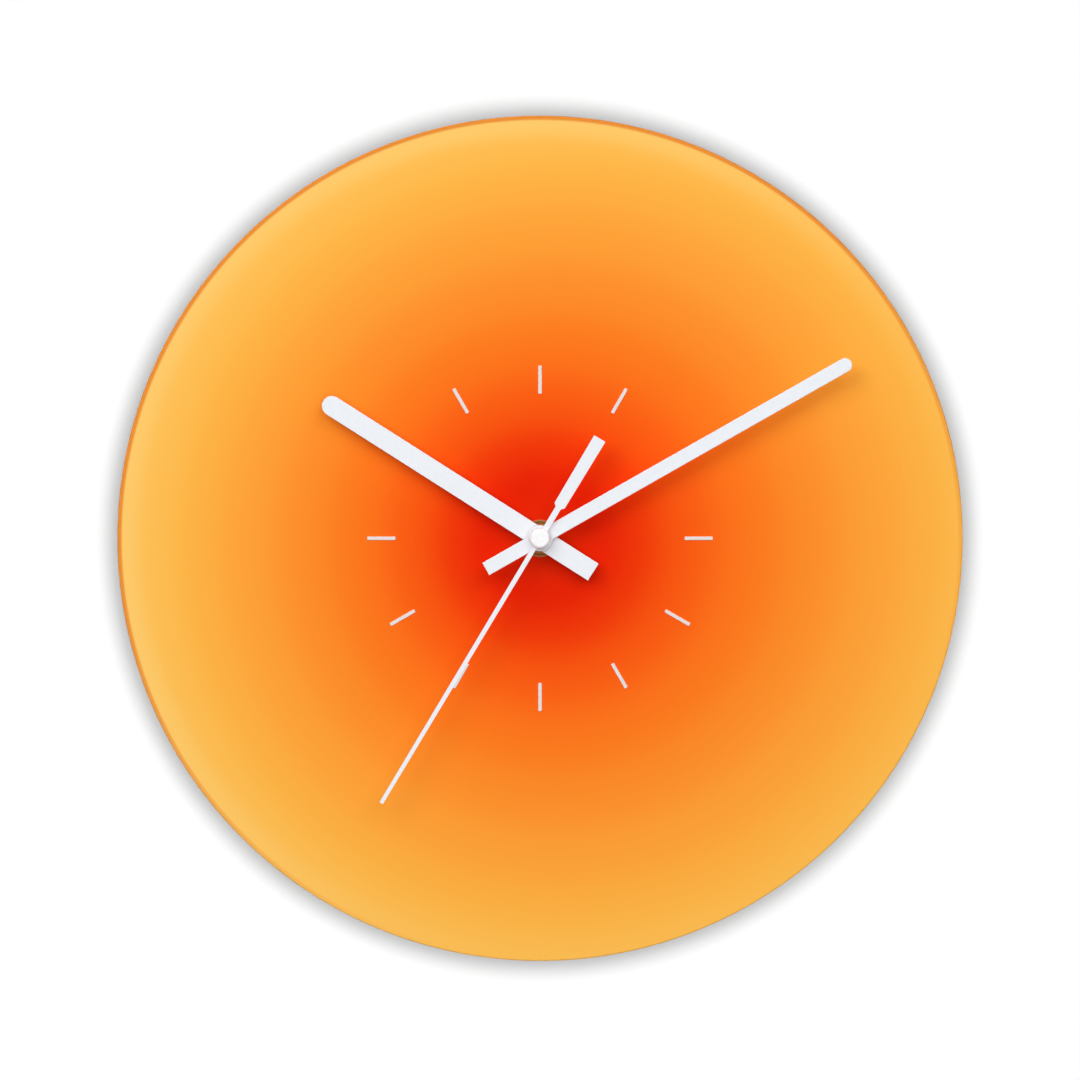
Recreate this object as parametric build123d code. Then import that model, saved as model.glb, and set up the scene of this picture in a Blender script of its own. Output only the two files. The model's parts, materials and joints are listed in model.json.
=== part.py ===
"""Frameless round wall clock with a battery quartz movement, built as separate pieces.

The clock is drawn lying on its back: x to 3 o'clock, y to 12 o'clock, z from the wall out of the dial.
It is stood up on export, so 12 o'clock is +Z, the dial faces -Y and the wall is the plane Y = 0.
The origin is on the axis of the hands, on the wall.
All sizes are in millimetres and all angles in degrees.
"""

import os
from math import acos, cos, pi, radians, sin, tan

from build123d import *

# Dial disc
dial_diameter = 300.0
dial_thickness = 5.0
dial_front_round = 0.5
dial_back_round = 0.5

# Hour markers
marker_count = 12
marker_inner_radius = 51.3
marker_length = 10.0
marker_width = 1.25
marker_height = 0.3

# Hands, with angles clockwise from 12
hour_angle = 302.45
hour_reach = 91.0
hour_tail = 22.4
hour_width = 7.1
minute_angle = 60.42
minute_reach = 126.8
minute_tail = 22.1
minute_width = 5.0
hub_radius = 4.6
hand_sheet = 0.8
hand_edge_round = 0.2
collar_height = 0.8
collar_wall = 0.9
second_angle = 210.95
second_reach = 109.4
second_root_width = 1.7
second_tip_width = 1.35
second_neck_width = 2.1
second_hub_radius = 2.5
second_sheet = 0.5
counterweight_start = 12.6
counterweight_end = 41.2
counterweight_root_width = 4.1
counterweight_width = 4.6
counterweight_chamfer = 0.9
cap_diameter = 7.3
cap_height = 1.9
cap_round = 1.1
stud_radius = 1.3

# Clamping of the movement to the dial
bracket_sheet = 1.2
bracket_width = 26.0
bracket_tail = 13.0
bracket_tab_height = 17.0
bracket_corner = 6.5
bracket_bend = 0.8
keyhole_radius = 4.0
keyhole_slot_width = 4.0
keyhole_slot_rise = 6.0
keyhole_margin = 2.5
gasket_radius = 12.0
gasket_thickness = 1.0
washer_radius = 6.6
washer_thickness = 0.6
nut_across_flats = 11.0
nut_height = 2.6
nut_chamfer = 0.35
thread_show = 0.4
bushing_radius = 4.0
bushing_flange_radius = 5.2
bushing_flange_thickness = 0.9

# Nested tubes of the hands
second_arbor_radius = 0.5
minute_tube_radius = 1.6
hour_tube_radius = 2.55
hand_gap = 0.5

# Battery cell and its contacts
cell_diameter = 14.2
cell_length = 50.5
cell_sleeve = 0.1
cell_end_rim = 0.6
nub_radius = 2.75
nub_length = 1.1
contact_sheet = 0.4
contact_half = 3.9
leaf_room = 2.7
cell_recess = 0.8
cell_room = 0.3

# Movement case
case_wall = 1.2
case_corner = 2.5
case_edge = 0.6
case_seam = 0.25
notch_radius = 6.0
tongue_width = 5.0
tongue_thickness = 0.9
tongue_length = 3.0
tongue_offset = 15.0
hook_height = 1.0
hook_reach = 0.7

# Marks moulded into the rear face: plus, minus and the turning arrow of the knob
mark_depth = 0.3
mark_length = 4.0
mark_stroke = 0.8
mark_side_inset = 6.0
mark_bay_inset = 4.0
arrow_gap = 2.1
arrow_from = 100.0
arrow_to = 25.0
arrow_head_length = 2.2
arrow_head_width = 2.4

# Wheel train: tooth counts
rotor_leaves = 8
step_teeth = 48
step_leaves = 10
second_teeth = 50
second_leaves = 8
third_teeth = 64
third_leaves = 8
centre_teeth = 60
cannon_leaves = 12
idler_teeth = 36
idler_leaves = 10
hour_teeth = 40
setting_leaves = 12

# Wheel train: distances between axes and the directions they lie in, seen from the front
rotor_centres = 7.0
step_centres = 9.0
third_centres = 10.9
idler_centres = 10.0
third_direction = 0.0
idler_direction = 180.0
step_direction = 115.0
rotor_direction = 60.0
setting_direction = 150.0

# Wheel train: tooth shape in modules, pivots and posts
addendum = 0.75
dedendum = 1.1
tooth_share = 0.84
pressure_angle = 20.0
flank_break = 0.985
third_pivot_radius = 0.6
step_pivot_radius = 0.5
rotor_pivot_radius = 0.4
idler_post_radius = 0.8
setting_shaft_radius = 1.5
setting_pivot_radius = 0.9
setting_collar_radius = 2.25
minute_foot_radius = 2.4
clutch_radius = 3.2
clutch_sheet = 0.2
boss_wall = 1.0
wheel_share = 0.5
pinion_share = 0.7
bridge_thickness = 0.8
bridge_margin = 2.0
pillar_radius = 1.3
pillar_peg_radius = 0.7
pillar_room = 0.8
pillar_directions = (214.0, 70.0, 180.0)

# Setting knob
knob_radius = 5.5
knob_height = 3.0
knob_recess = 0.5
knob_room = 0.7
knob_skin = 1.0
knob_edge = 0.4
knob_ribs = 24
knob_groove = 0.6
knob_rim = 1.3
knob_dish = 0.5
knob_bar = 1.6

# Stepping motor
magnet_radius = 3.0
magnet_height = 2.4
stator_gap = 0.4
stator_ring_wall = 1.4
stator_thickness = 1.0
stator_arm_width = 3.4
stator_reach = 10.6
core_thickness = 1.0
core_width = 3.2
bobbin_radius = 2.3
bobbin_flange_radius = 3.3
bobbin_flange = 0.8
winding_step = 0.4

# Timing circuit
board_thickness = 1.0
board_left = 4.0
board_low = 13.5
board_peg_inset = 2.5
crystal_diameter = 2.0
crystal_length = 6.0
crystal_round = 0.3
crystal_inset = (10.1, 2.9)
chip_radius = 2.8
chip_height = 1.0
chip_round = 0.8
chip_inset = (9.0, 7.0)

# Fits and gaps
running_fit = 0.05
press_fit = 0.01
touch = 0.02
end_shake = 0.25
body_gap = 0.5


def polar(start, distance, direction):
    """The point at this distance and direction from another."""
    angle = radians(direction)
    return (start[0] + distance * cos(angle), start[1] + distance * sin(angle))


def block(x0, x1, y0, y1, z0, z1):
    """A box between these limits."""
    return Pos((x0 + x1) / 2, (y0 + y1) / 2, (z0 + z1) / 2) * Box(x1 - x0, y1 - y0, z1 - z0)


def rod(radius, z0, z1, at=(0, 0)):
    """A round bar along the hands' axis or beside it."""
    return Pos(at[0], at[1], (z0 + z1) / 2) * Cylinder(radius, z1 - z0)


def ring(outer, inner, z0, z1, at=(0, 0)):
    """A tube or flat ring."""
    return rod(outer, z0, z1, at) - rod(inner, z0, z1, at)


def long_rod(radius, x0, x1, y, z):
    """A round bar that lies along x."""
    return Pos((x0 + x1) / 2, y, z) * Rot(0, 90, 0) * Cylinder(radius, x1 - x0)


def plate(points, z0, z1):
    """A flat plate with this outline."""
    return Pos(0, 0, z0) * extrude(Polygon(*points, align=None), amount=z1 - z0, dir=(0, 0, 1))


def bar(start, end, half_width, z0, z1):
    """A flat bar with round ends between two points."""
    dx, dy = end[0] - start[0], end[1] - start[1]
    length = (dx * dx + dy * dy) ** 0.5
    nx, ny = -dy / length * half_width, dx / length * half_width
    outline = [
        (start[0] + nx, start[1] + ny),
        (start[0] - nx, start[1] - ny),
        (end[0] - nx, end[1] - ny),
        (end[0] + nx, end[1] + ny),
    ]
    return plate(outline, z0, z1) + rod(half_width, z0, z1, start) + rod(half_width, z0, z1, end)


def module(centres, leaves, teeth):
    """Module of two wheels that mesh at this distance between axes."""
    return 2 * centres / (leaves + teeth)


def tip_radius(teeth, size):
    return size * (teeth / 2 + addendum)


def root_radius(teeth, size):
    return size * (teeth / 2 - dedendum)


def involute(angle):
    return tan(angle) - angle


def half_tooth(radius, teeth, size):
    """Half the angle that a tooth fills at this radius, in radians."""
    alpha = radians(pressure_angle)
    base = size * teeth / 2 * cos(alpha)
    here = acos(base / max(radius, base))
    return pi / (2 * teeth) * tooth_share + involute(alpha) - involute(here)


def gear(teeth, size, phase, z0, z1, at=(0, 0)):
    """A spur gear with one tooth centred at the phase angle."""
    radii = [root_radius(teeth, size), flank_break * size * teeth / 2, tip_radius(teeth, size)]
    points = []
    for tooth in range(teeth):
        middle = radians(phase) + 2 * pi * tooth / teeth
        rising = [(r, middle - half_tooth(r, teeth, size)) for r in radii]
        falling = [(r, middle + half_tooth(r, teeth, size)) for r in reversed(radii)]
        points += [(at[0] + r * cos(a), at[1] + r * sin(a)) for r, a in rising + falling]
    return plate(points, z0, z1)


def meshing(phase, leaves, teeth, direction):
    """Phase of the wheel that meshes with a wheel of this phase and lies in this direction from it."""
    return direction + 180 + 180 / teeth - (phase - direction) * leaves / teeth


# Depth of the movement, from the wall
case_depth = cell_recess + cell_diameter + cell_room + case_wall
rear_inner = case_wall
front_inner = case_depth - case_wall
layer = (front_inner - rear_inner) / 8
wheel_face = wheel_share * layer
pinion_face = pinion_share * layer


def level(number):
    """Middle height of a layer of the train, counted from the rear wall."""
    return rear_inner + number * layer


def wheel_span(number):
    return level(number) - wheel_face / 2, level(number) + wheel_face / 2


def pinion_span(number):
    return level(number) - pinion_face / 2, level(number) + pinion_face / 2


# Depth of the dial and the hands, from the wall
bracket_top = case_depth + bracket_sheet
gasket_top = bracket_top + gasket_thickness
dial_top = gasket_top + dial_thickness
washer_top = dial_top + washer_thickness
nut_top = washer_top + nut_height
bushing_top = nut_top + thread_show
hour_blade = bushing_top + hand_gap + collar_height
hour_tube_top = hour_blade + hand_sheet
minute_blade = hour_tube_top + hand_gap + collar_height
minute_tube_top = minute_blade + hand_sheet
second_blade = minute_tube_top + hand_gap + collar_height
cap_base = second_blade + second_sheet
second_arbor_top = cap_base + cap_height / 2

# Axes of the train
axis = (0.0, 0.0)
third_at = polar(axis, third_centres, third_direction)
idler_at = polar(axis, idler_centres, idler_direction)
step_at = polar(axis, step_centres, step_direction)
rotor_at = polar(step_at, rotor_centres, rotor_direction)
rotor_module = module(rotor_centres, rotor_leaves, step_teeth)
step_module = module(step_centres, step_leaves, second_teeth)
second_module = module(third_centres, second_leaves, third_teeth)
third_module = module(third_centres, third_leaves, centre_teeth)
cannon_module = module(idler_centres, cannon_leaves, idler_teeth)
hour_module = module(idler_centres, idler_leaves, hour_teeth)
setting_centres = cannon_module * (idler_teeth + setting_leaves) / 2
setting_at = polar(idler_at, setting_centres, setting_direction)

# Tooth phases, each wheel set to its partner
step_phase = meshing(0, rotor_leaves, step_teeth, rotor_direction + 180)
second_phase = meshing(0, step_leaves, second_teeth, step_direction + 180)
third_phase = meshing(0, second_leaves, third_teeth, third_direction)
centre_phase = meshing(0, third_leaves, centre_teeth, third_direction + 180)
idler_phase = meshing(0, cannon_leaves, idler_teeth, idler_direction)
hour_phase = meshing(0, idler_leaves, hour_teeth, idler_direction + 180)
setting_phase = meshing(idler_phase, idler_teeth, setting_leaves, setting_direction)

# Posts that carry the bridge
beside = [
    (axis, tip_radius(second_teeth, step_module)),
    (third_at, tip_radius(third_teeth, second_module)),
    (step_at, tip_radius(step_teeth, rotor_module)),
]
pillars = [
    polar(at, tip + pillar_radius + pillar_room, direction)
    for (at, tip), direction in zip(beside, pillar_directions)
]

# Motor and circuit
stator_base = level(2.9) - stator_thickness / 2
stator_top = stator_base + stator_thickness
stator_ring_radius = magnet_radius + stator_gap + stator_ring_wall
coil_y = rotor_at[1] + stator_ring_radius + bobbin_flange_radius + body_gap
coil_z = stator_top + core_thickness / 2
coil_half = stator_reach - stator_arm_width / 2 - body_gap
stator_ends = [(rotor_at[0] - stator_reach, coil_y), (rotor_at[0] + stator_reach, coil_y)]
board_top = front_inner - crystal_diameter - body_gap
board_base = board_top - board_thickness

# Outline of the movement case
knob_well = knob_radius + knob_room
knob_floor = knob_recess + knob_height + end_shake
well_inside = knob_floor + case_wall
half_inner = max(
    (cell_length + contact_sheet + leaf_room) / 2,
    abs(setting_at[0]) + knob_well + case_wall + touch,
)
half_outer = half_inner + case_wall
inner_top = coil_y + bobbin_flange_radius + body_gap
case_top = inner_top + case_wall
chamber_low = -(tip_radius(centre_teeth, third_module) + 2 * body_gap)
bay_top = chamber_low - case_wall
bay_low = bay_top - cell_diameter - 2 * cell_room
case_low = bay_low - case_wall
cell_y = (bay_top + bay_low) / 2
cell_z = cell_recess + cell_diameter / 2
cell_front = half_inner - contact_sheet - touch
cell_back = cell_front - cell_length
lead_low = level(4.4)
lead_high = level(5.5)
board_right = half_inner - contact_sheet - touch
board_high = inner_top - tongue_thickness - body_gap
board_pegs = [
    (board_left + board_peg_inset, board_low + board_peg_inset),
    (board_right - board_peg_inset, board_high - board_peg_inset),
]
tongues = [
    (side * tongue_offset, edge, out)
    for side in (-1, 1)
    for edge, out in ((inner_top, 1), (bay_low, -1))
]


def hand_blade(reach, tail, width, hole, z):
    """A straight hand pointing to 12, with round tip, square tail, hub and a collar that grips its tube."""
    half = width / 2
    blade = block(-half, half, -tail, reach - half, z, z + hand_sheet)
    blade += rod(half, z, z + hand_sheet, (0, reach - half))
    blade += rod(hub_radius, z, z + hand_sheet)
    face = blade.faces().sort_by(Axis.Z)[-1]
    blade = fillet(face.outer_wire().edges(), hand_edge_round)
    blade += rod(hole + collar_wall, z - collar_height, z + hand_sheet / 2)
    return blade - rod(hole + press_fit, z - collar_height, z + hand_sheet)


def make_dial_disc():
    disc = rod(dial_diameter / 2, gasket_top, dial_top)
    rims = disc.edges().filter_by(GeomType.CIRCLE).sort_by(Axis.Z)
    disc = fillet(rims[-1], dial_front_round)
    rims = disc.edges().filter_by(GeomType.CIRCLE).sort_by(Axis.Z)
    disc = fillet(rims[0], dial_back_round)
    return disc - rod(bushing_radius + running_fit, gasket_top, dial_top)


def make_hour_markers():
    outer = marker_inner_radius + marker_length
    half = marker_width / 2
    marker = block(-half, half, marker_inner_radius, outer, dial_top, dial_top + marker_height)
    return [Rot(0, 0, 360 / marker_count * n) * marker for n in range(marker_count)]


def make_hour_hand():
    blade = hand_blade(hour_reach, hour_tail, hour_width, hour_tube_radius, hour_blade)
    return Rot(0, 0, -hour_angle) * blade


def make_minute_hand():
    blade = hand_blade(minute_reach, minute_tail, minute_width, minute_tube_radius, minute_blade)
    return Rot(0, 0, -minute_angle) * blade


def make_second_hand():
    root, tip, neck = second_root_width / 2, second_tip_width / 2, second_neck_width / 2
    light, heavy = counterweight_root_width / 2, counterweight_width / 2
    shoulder = min(counterweight_chamfer, light - neck)
    outline = [
        (-tip, second_reach),
        (-root, 0),
        (-neck, 0),
        (-neck, -counterweight_start),
        (shoulder - light, -counterweight_start),
        (-light, -counterweight_start - shoulder),
        (-heavy, -counterweight_end),
    ]
    outline += [(-x, y) for x, y in reversed(outline)]
    blade = plate(outline, second_blade, cap_base)
    blade += rod(second_hub_radius, second_blade, cap_base)
    blade -= rod(stud_radius + press_fit, second_blade, cap_base)
    return Rot(0, 0, -second_angle) * blade


def make_second_hand_cap():
    dome = rod(cap_diameter / 2, cap_base + touch, cap_base + cap_height)
    crown = dome.edges().filter_by(GeomType.CIRCLE).sort_by(Axis.Z)[-1]
    dome = fillet(crown, min(cap_round, 0.9 * cap_height))
    stud = rod(stud_radius, second_blade - collar_height, cap_base + cap_height / 3)
    bore = rod(second_arbor_radius + press_fit, second_blade - collar_height, second_arbor_top + touch)
    return dome + stud - bore


def make_fixing_nut():
    hexagon = RegularPolygon(nut_across_flats / 2, 6, major_radius=False)
    nut = Pos(0, 0, washer_top) * extrude(hexagon, amount=nut_height)
    nut = chamfer(nut.faces().sort_by(Axis.Z)[-1].edges(), nut_chamfer)
    return nut - rod(bushing_radius + press_fit, washer_top, nut_top)


def make_dial_washer():
    return ring(washer_radius, bushing_radius + running_fit, dial_top, washer_top)


def make_rubber_gasket():
    return ring(gasket_radius, bushing_radius + running_fit, bracket_top, gasket_top)


def make_hanger_bracket():
    half = bracket_width / 2
    back = case_top + running_fit
    bend = back + bracket_sheet
    tab_end = bend + bracket_tab_height
    profile = [
        (-bracket_tail, case_depth),
        (back, case_depth),
        (back, 0),
        (tab_end, 0),
        (tab_end, bracket_sheet),
        (bend, bracket_sheet),
        (bend, bracket_top),
        (-bracket_tail, bracket_top),
    ]
    bracket = extrude(Plane.YZ * Polygon(*profile, align=None), amount=half, both=True)
    across = bracket.edges().filter_by(Axis.X)
    outer_bends = across.filter_by_position(Axis.Y, back - touch, back + touch).sort_by(Axis.Z)[:1]
    outer_bends += across.filter_by_position(Axis.Y, bend - touch, bend + touch).sort_by(Axis.Z)[-1:]
    bracket = fillet(outer_bends, bracket_bend)
    corners = bracket.edges().filter_by(Axis.Z).sort_by(Axis.Y)[-2:]
    bracket = fillet(corners, bracket_corner)
    bracket -= rod(bushing_radius + running_fit, case_depth, bracket_top)
    centre = bend + keyhole_radius + keyhole_margin
    slot = keyhole_slot_width / 2
    top = centre + keyhole_slot_rise
    bracket -= rod(keyhole_radius, 0, bracket_sheet, (0, centre))
    bracket -= block(-slot, slot, centre, top, 0, bracket_sheet)
    return bracket - rod(slot, 0, bracket_sheet, (0, top))


def make_threaded_bushing():
    flange_base = front_inner - bushing_flange_thickness
    bushing = rod(bushing_radius, flange_base, bushing_top)
    bushing += rod(bushing_flange_radius, flange_base, front_inner)
    return bushing - rod(hour_tube_radius + running_fit, flange_base, bushing_top)


def make_front_case():
    lid = block(-half_outer, half_outer, case_low, case_top, front_inner, case_depth)
    lid = fillet(lid.edges().filter_by(Axis.Z), case_corner)
    by_depth = lid.faces().sort_by(Axis.Z)
    lid = chamfer(by_depth[0].edges() + by_depth[-1].edges(), case_seam)
    for x, edge, out in tongues:
        near, far = edge - out * running_fit, edge - out * (running_fit + tongue_thickness)
        low = front_inner - tongue_length
        reach = edge + out * hook_reach
        half = tongue_width / 2
        lid += block(x - half, x + half, min(near, far), max(near, far), low, front_inner)
        lid += block(x - half, x + half, min(far, reach), max(far, reach), low, low + hook_height)
    third_end = pinion_span(5)[1] + end_shake
    setting_end = pinion_span(6)[1] + end_shake
    lid += rod(third_pivot_radius + boss_wall, third_end, front_inner, third_at)
    lid += rod(setting_pivot_radius + boss_wall, setting_end, front_inner, setting_at)
    lid += rod(idler_post_radius + boss_wall, pinion_span(7)[1] + end_shake, front_inner, idler_at)
    lid += rod(idler_post_radius, wheel_span(6)[0], front_inner, idler_at)
    for peg in board_pegs:
        lid += rod(pillar_radius, board_top, front_inner, peg)
        lid += rod(pillar_peg_radius, board_base, front_inner, peg)
    lid -= rod(third_pivot_radius + running_fit, third_end, front_inner, third_at)
    lid -= rod(setting_pivot_radius + running_fit, setting_end, front_inner, setting_at)
    return lid - rod(bushing_radius + press_fit, front_inner, case_depth)


def rear_marks():
    """Sunk into the rear face: plus and minus at the ends of the bay, and an arrow beside the knob."""
    half, stroke = mark_length / 2, mark_stroke / 2
    y = bay_top + mark_bay_inset
    plus = half_outer - mark_side_inset
    level_stroke = block(-half, half, y - stroke, y + stroke, 0, mark_depth)
    marks = [Pos(side * plus, 0, 0) * level_stroke for side in (-1, 1)]
    marks.append(block(plus - stroke, plus + stroke, y - half, y + half, 0, mark_depth))
    middle = knob_well + arrow_gap
    wedge = [setting_at] + [
        polar(setting_at, 2 * middle, direction)
        for direction in (arrow_from, (arrow_from + arrow_to) / 2, arrow_to)
    ]
    sweep = ring(middle + stroke, middle - stroke, 0, mark_depth, setting_at)
    marks.append(sweep & plate(wedge, 0, mark_depth))
    tip_turn = arrow_head_length / middle * 180 / pi
    head = [
        polar(setting_at, middle - arrow_head_width / 2, arrow_to),
        polar(setting_at, middle + arrow_head_width / 2, arrow_to),
        polar(setting_at, middle, arrow_to - tip_turn),
    ]
    marks.append(plate(head, 0, mark_depth))
    return marks


def make_rear_case():
    case = block(-half_outer, half_outer, case_low, case_top, 0, front_inner)
    case = fillet(case.edges().filter_by(Axis.Z), case_corner)
    case = chamfer(case.faces().sort_by(Axis.Z)[0].edges(), case_edge)
    case -= Pos(0, case_low, 0) * Rot(90, 0, 0) * Cylinder(notch_radius, 3 * case_wall)
    case -= block(-half_inner, half_inner, chamber_low, inner_top, rear_inner, front_inner)
    case -= block(-half_inner, half_inner, bay_low, bay_top, 0, front_inner)
    case += rod(knob_well + case_wall, 0, well_inside, setting_at)
    case -= rod(knob_well, 0, knob_floor, setting_at)
    case -= rod(setting_shaft_radius + running_fit, knob_floor, well_inside, setting_at)
    bearings = [
        (axis, second_arbor_radius, wheel_span(2)[0]),
        (third_at, third_pivot_radius, wheel_span(3)[0]),
        (step_at, step_pivot_radius, wheel_span(1)[0]),
        (rotor_at, rotor_pivot_radius, pinion_span(1)[0]),
    ]
    for at, radius, wheel in bearings:
        case += rod(radius + boss_wall, rear_inner / 2, wheel - end_shake, at)
        case -= rod(radius + running_fit, rear_inner / 2, wheel - end_shake, at)
    bridge_base = level(4) - bridge_thickness / 2
    for at in pillars:
        case += rod(pillar_radius, rear_inner / 2, bridge_base, at)
        case += rod(pillar_peg_radius, rear_inner, level(4) + bridge_thickness / 2, at)
    for at in stator_ends:
        case += rod(stator_arm_width / 2, rear_inner / 2, stator_base, at)
        case += rod(pillar_peg_radius, rear_inner, stator_top + core_thickness, at)
    for x, edge, out in tongues:
        half = tongue_width / 2 + body_gap / 2
        ends = sorted((edge, edge + out * case_wall))
        low = front_inner - tongue_length - body_gap / 2
        case -= block(x - half, x + half, ends[0], ends[1], low, low + hook_height + body_gap)
    for side in (-1, 1):
        ends = sorted((side * half_inner, side * (half_inner - contact_sheet - body_gap)))
        case -= block(ends[0], ends[1], bay_top, chamber_low, lead_low - body_gap, lead_high + body_gap)
    for mark in rear_marks():
        case -= mark
    return case


def make_train_bridge():
    corners = [pillars[0], axis, pillars[1], rotor_at, pillars[2]]
    low, high = level(4) - bridge_thickness / 2, level(4) + bridge_thickness / 2
    outline = offset(Polygon(*corners, align=None), amount=bridge_margin)
    bridge = Pos(0, 0, low) * extrude(outline, amount=high - low, dir=(0, 0, 1))
    for at in pillars:
        bridge -= rod(pillar_peg_radius + press_fit, low, high, at)
    bridge -= rod(second_arbor_radius + running_fit, low, high)
    bridge -= rod(step_pivot_radius + running_fit, low, high, step_at)
    return bridge - rod(rotor_pivot_radius + running_fit, low, high, rotor_at)


def make_second_arbor():
    return rod(second_arbor_radius, rear_inner, second_arbor_top)


def make_second_wheel():
    wheel = gear(second_teeth, step_module, second_phase, *wheel_span(2))
    wheel += gear(second_leaves, second_module, 0, *pinion_span(3))
    hub = root_radius(second_leaves, second_module)
    wheel += rod(hub, wheel_span(2)[0], pinion_span(3)[1])
    return wheel - rod(second_arbor_radius + press_fit, wheel_span(2)[0], pinion_span(3)[1])


def make_third_wheel():
    wheel = gear(third_teeth, second_module, third_phase, *wheel_span(3), third_at)
    wheel += gear(third_leaves, third_module, 0, *pinion_span(5), third_at)
    hub = root_radius(third_leaves, third_module)
    wheel += rod(hub, wheel_span(3)[0], pinion_span(5)[1], third_at)
    return wheel + rod(third_pivot_radius, rear_inner, front_inner - end_shake, third_at)


def make_step_wheel():
    wheel = gear(step_teeth, rotor_module, step_phase, *wheel_span(1), step_at)
    wheel += gear(step_leaves, step_module, 0, *pinion_span(2), step_at)
    hub = root_radius(step_leaves, step_module)
    wheel += rod(hub, wheel_span(1)[0], level(4) - bridge_thickness / 2 - end_shake, step_at)
    return wheel + rod(step_pivot_radius, rear_inner / 2 + touch, level(4) + bridge_thickness / 2, step_at)


def make_rotor_arbor():
    rotor = gear(rotor_leaves, rotor_module, 0, *pinion_span(1), rotor_at)
    hub = root_radius(rotor_leaves, rotor_module)
    rotor += rod(hub, pinion_span(1)[0], level(4) - bridge_thickness / 2 - end_shake, rotor_at)
    return rotor + rod(rotor_pivot_radius, rear_inner / 2 + touch, level(4) + bridge_thickness / 2, rotor_at)


def make_rotor_magnet():
    hub = root_radius(rotor_leaves, rotor_module)
    low = level(2.9) - magnet_height / 2
    return ring(magnet_radius, hub + press_fit, low, low + magnet_height, rotor_at)


def make_centre_wheel():
    wheel = gear(centre_teeth, third_module, centre_phase, *wheel_span(5))
    return wheel - rod(minute_tube_radius + press_fit, *wheel_span(5))


def make_clutch_spring():
    low, high = wheel_span(5)[1] + touch, pinion_span(6)[0] - touch
    inner, outer = minute_tube_radius + press_fit, clutch_radius
    profile = [(inner, high - clutch_sheet), (outer, low), (outer, low + clutch_sheet), (inner, high)]
    return revolve(Plane.XZ * Polygon(*profile, align=None), Axis.Z)


def make_minute_tube():
    foot = level(4) + bridge_thickness / 2 + end_shake
    tube = rod(minute_tube_radius, foot, minute_tube_top)
    tube += rod(minute_foot_radius, foot, wheel_span(5)[0] - touch)
    tube += gear(cannon_leaves, cannon_module, 0, *pinion_span(6))
    return tube - rod(second_arbor_radius + running_fit, foot, minute_tube_top)


def make_idler_wheel():
    wheel = gear(idler_teeth, cannon_module, idler_phase, *wheel_span(6), idler_at)
    wheel += gear(idler_leaves, hour_module, 0, *pinion_span(7), idler_at)
    hub = root_radius(idler_leaves, hour_module)
    wheel += rod(hub, wheel_span(6)[0], pinion_span(7)[1], idler_at)
    return wheel - rod(idler_post_radius + running_fit, wheel_span(6)[0], pinion_span(7)[1], idler_at)


def make_hour_wheel():
    low = wheel_span(7)[0]
    wheel = gear(hour_teeth, hour_module, hour_phase, *wheel_span(7))
    wheel += rod(hour_tube_radius, low, hour_tube_top)
    return wheel - rod(minute_tube_radius + running_fit, low, hour_tube_top)


def make_setting_pinion():
    pinion = gear(setting_leaves, cannon_module, setting_phase, *pinion_span(6), setting_at)
    pinion += rod(setting_shaft_radius, knob_recess + knob_skin, pinion_span(6)[1], setting_at)
    collar = well_inside + end_shake
    pinion += rod(setting_collar_radius, collar, collar + case_wall, setting_at)
    return pinion + rod(setting_pivot_radius, pinion_span(6)[1], front_inner - end_shake, setting_at)


def make_setting_knob():
    low, high = knob_recess, knob_recess + knob_height
    knob = rod(knob_radius, low, high, setting_at)
    knob = chamfer(knob.edges().filter_by(GeomType.CIRCLE).sort_by(Axis.Z)[0], knob_edge)
    for rib in range(knob_ribs):
        at = polar(setting_at, knob_radius + knob_groove / 2, 360 / knob_ribs * rib)
        knob -= rod(knob_groove, low, high, at)
    knob -= rod(setting_shaft_radius + press_fit, low + knob_skin - touch, high, setting_at)
    dish_radius, dish_floor = knob_radius - knob_rim, low + knob_dish
    dish = rod(dish_radius, low, dish_floor, setting_at)
    x, y = setting_at
    dish -= block(x - knob_bar / 2, x + knob_bar / 2, y - dish_radius, y + dish_radius, low, dish_floor)
    return knob - dish


def make_stator():
    half = stator_arm_width / 2
    plate_body = rod(stator_ring_radius, stator_base, stator_top, rotor_at)
    for end in stator_ends:
        elbow = (end[0], rotor_at[1])
        plate_body += bar(rotor_at, elbow, half, stator_base, stator_top)
        plate_body += bar(elbow, end, half, stator_base, stator_top)
    for end in stator_ends:
        plate_body -= rod(pillar_peg_radius + press_fit, stator_base, stator_top, end)
    return plate_body - rod(magnet_radius + stator_gap, stator_base, stator_top, rotor_at)


def make_coil_core():
    core = bar(stator_ends[0], stator_ends[1], core_width / 2, stator_top, stator_top + core_thickness)
    for end in stator_ends:
        core -= rod(pillar_peg_radius + press_fit, stator_top, stator_top + core_thickness, end)
    return core


def make_coil_bobbin():
    x0, x1 = rotor_at[0] - coil_half, rotor_at[0] + coil_half
    bobbin = long_rod(bobbin_radius, x0, x1, coil_y, coil_z)
    bobbin += long_rod(bobbin_flange_radius, x0, x0 + bobbin_flange, coil_y, coil_z)
    bobbin += long_rod(bobbin_flange_radius, x1 - bobbin_flange, x1, coil_y, coil_z)
    wide, thick = core_width / 2 + running_fit, core_thickness / 2 + running_fit
    return bobbin - block(x0, x1, coil_y - wide, coil_y + wide, coil_z - thick, coil_z + thick)


def make_coil_winding():
    x0 = rotor_at[0] - coil_half + bobbin_flange + running_fit
    x1 = rotor_at[0] + coil_half - bobbin_flange - running_fit
    winding = long_rod(bobbin_flange_radius - winding_step, x0, x1, coil_y, coil_z)
    return winding - long_rod(bobbin_radius + press_fit, x0, x1, coil_y, coil_z)


def make_circuit_board():
    board = block(board_left, board_right, board_low, board_high, board_base, board_top)
    for peg in board_pegs:
        board -= rod(pillar_peg_radius + press_fit, board_base, board_top, peg)
    return board


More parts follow.
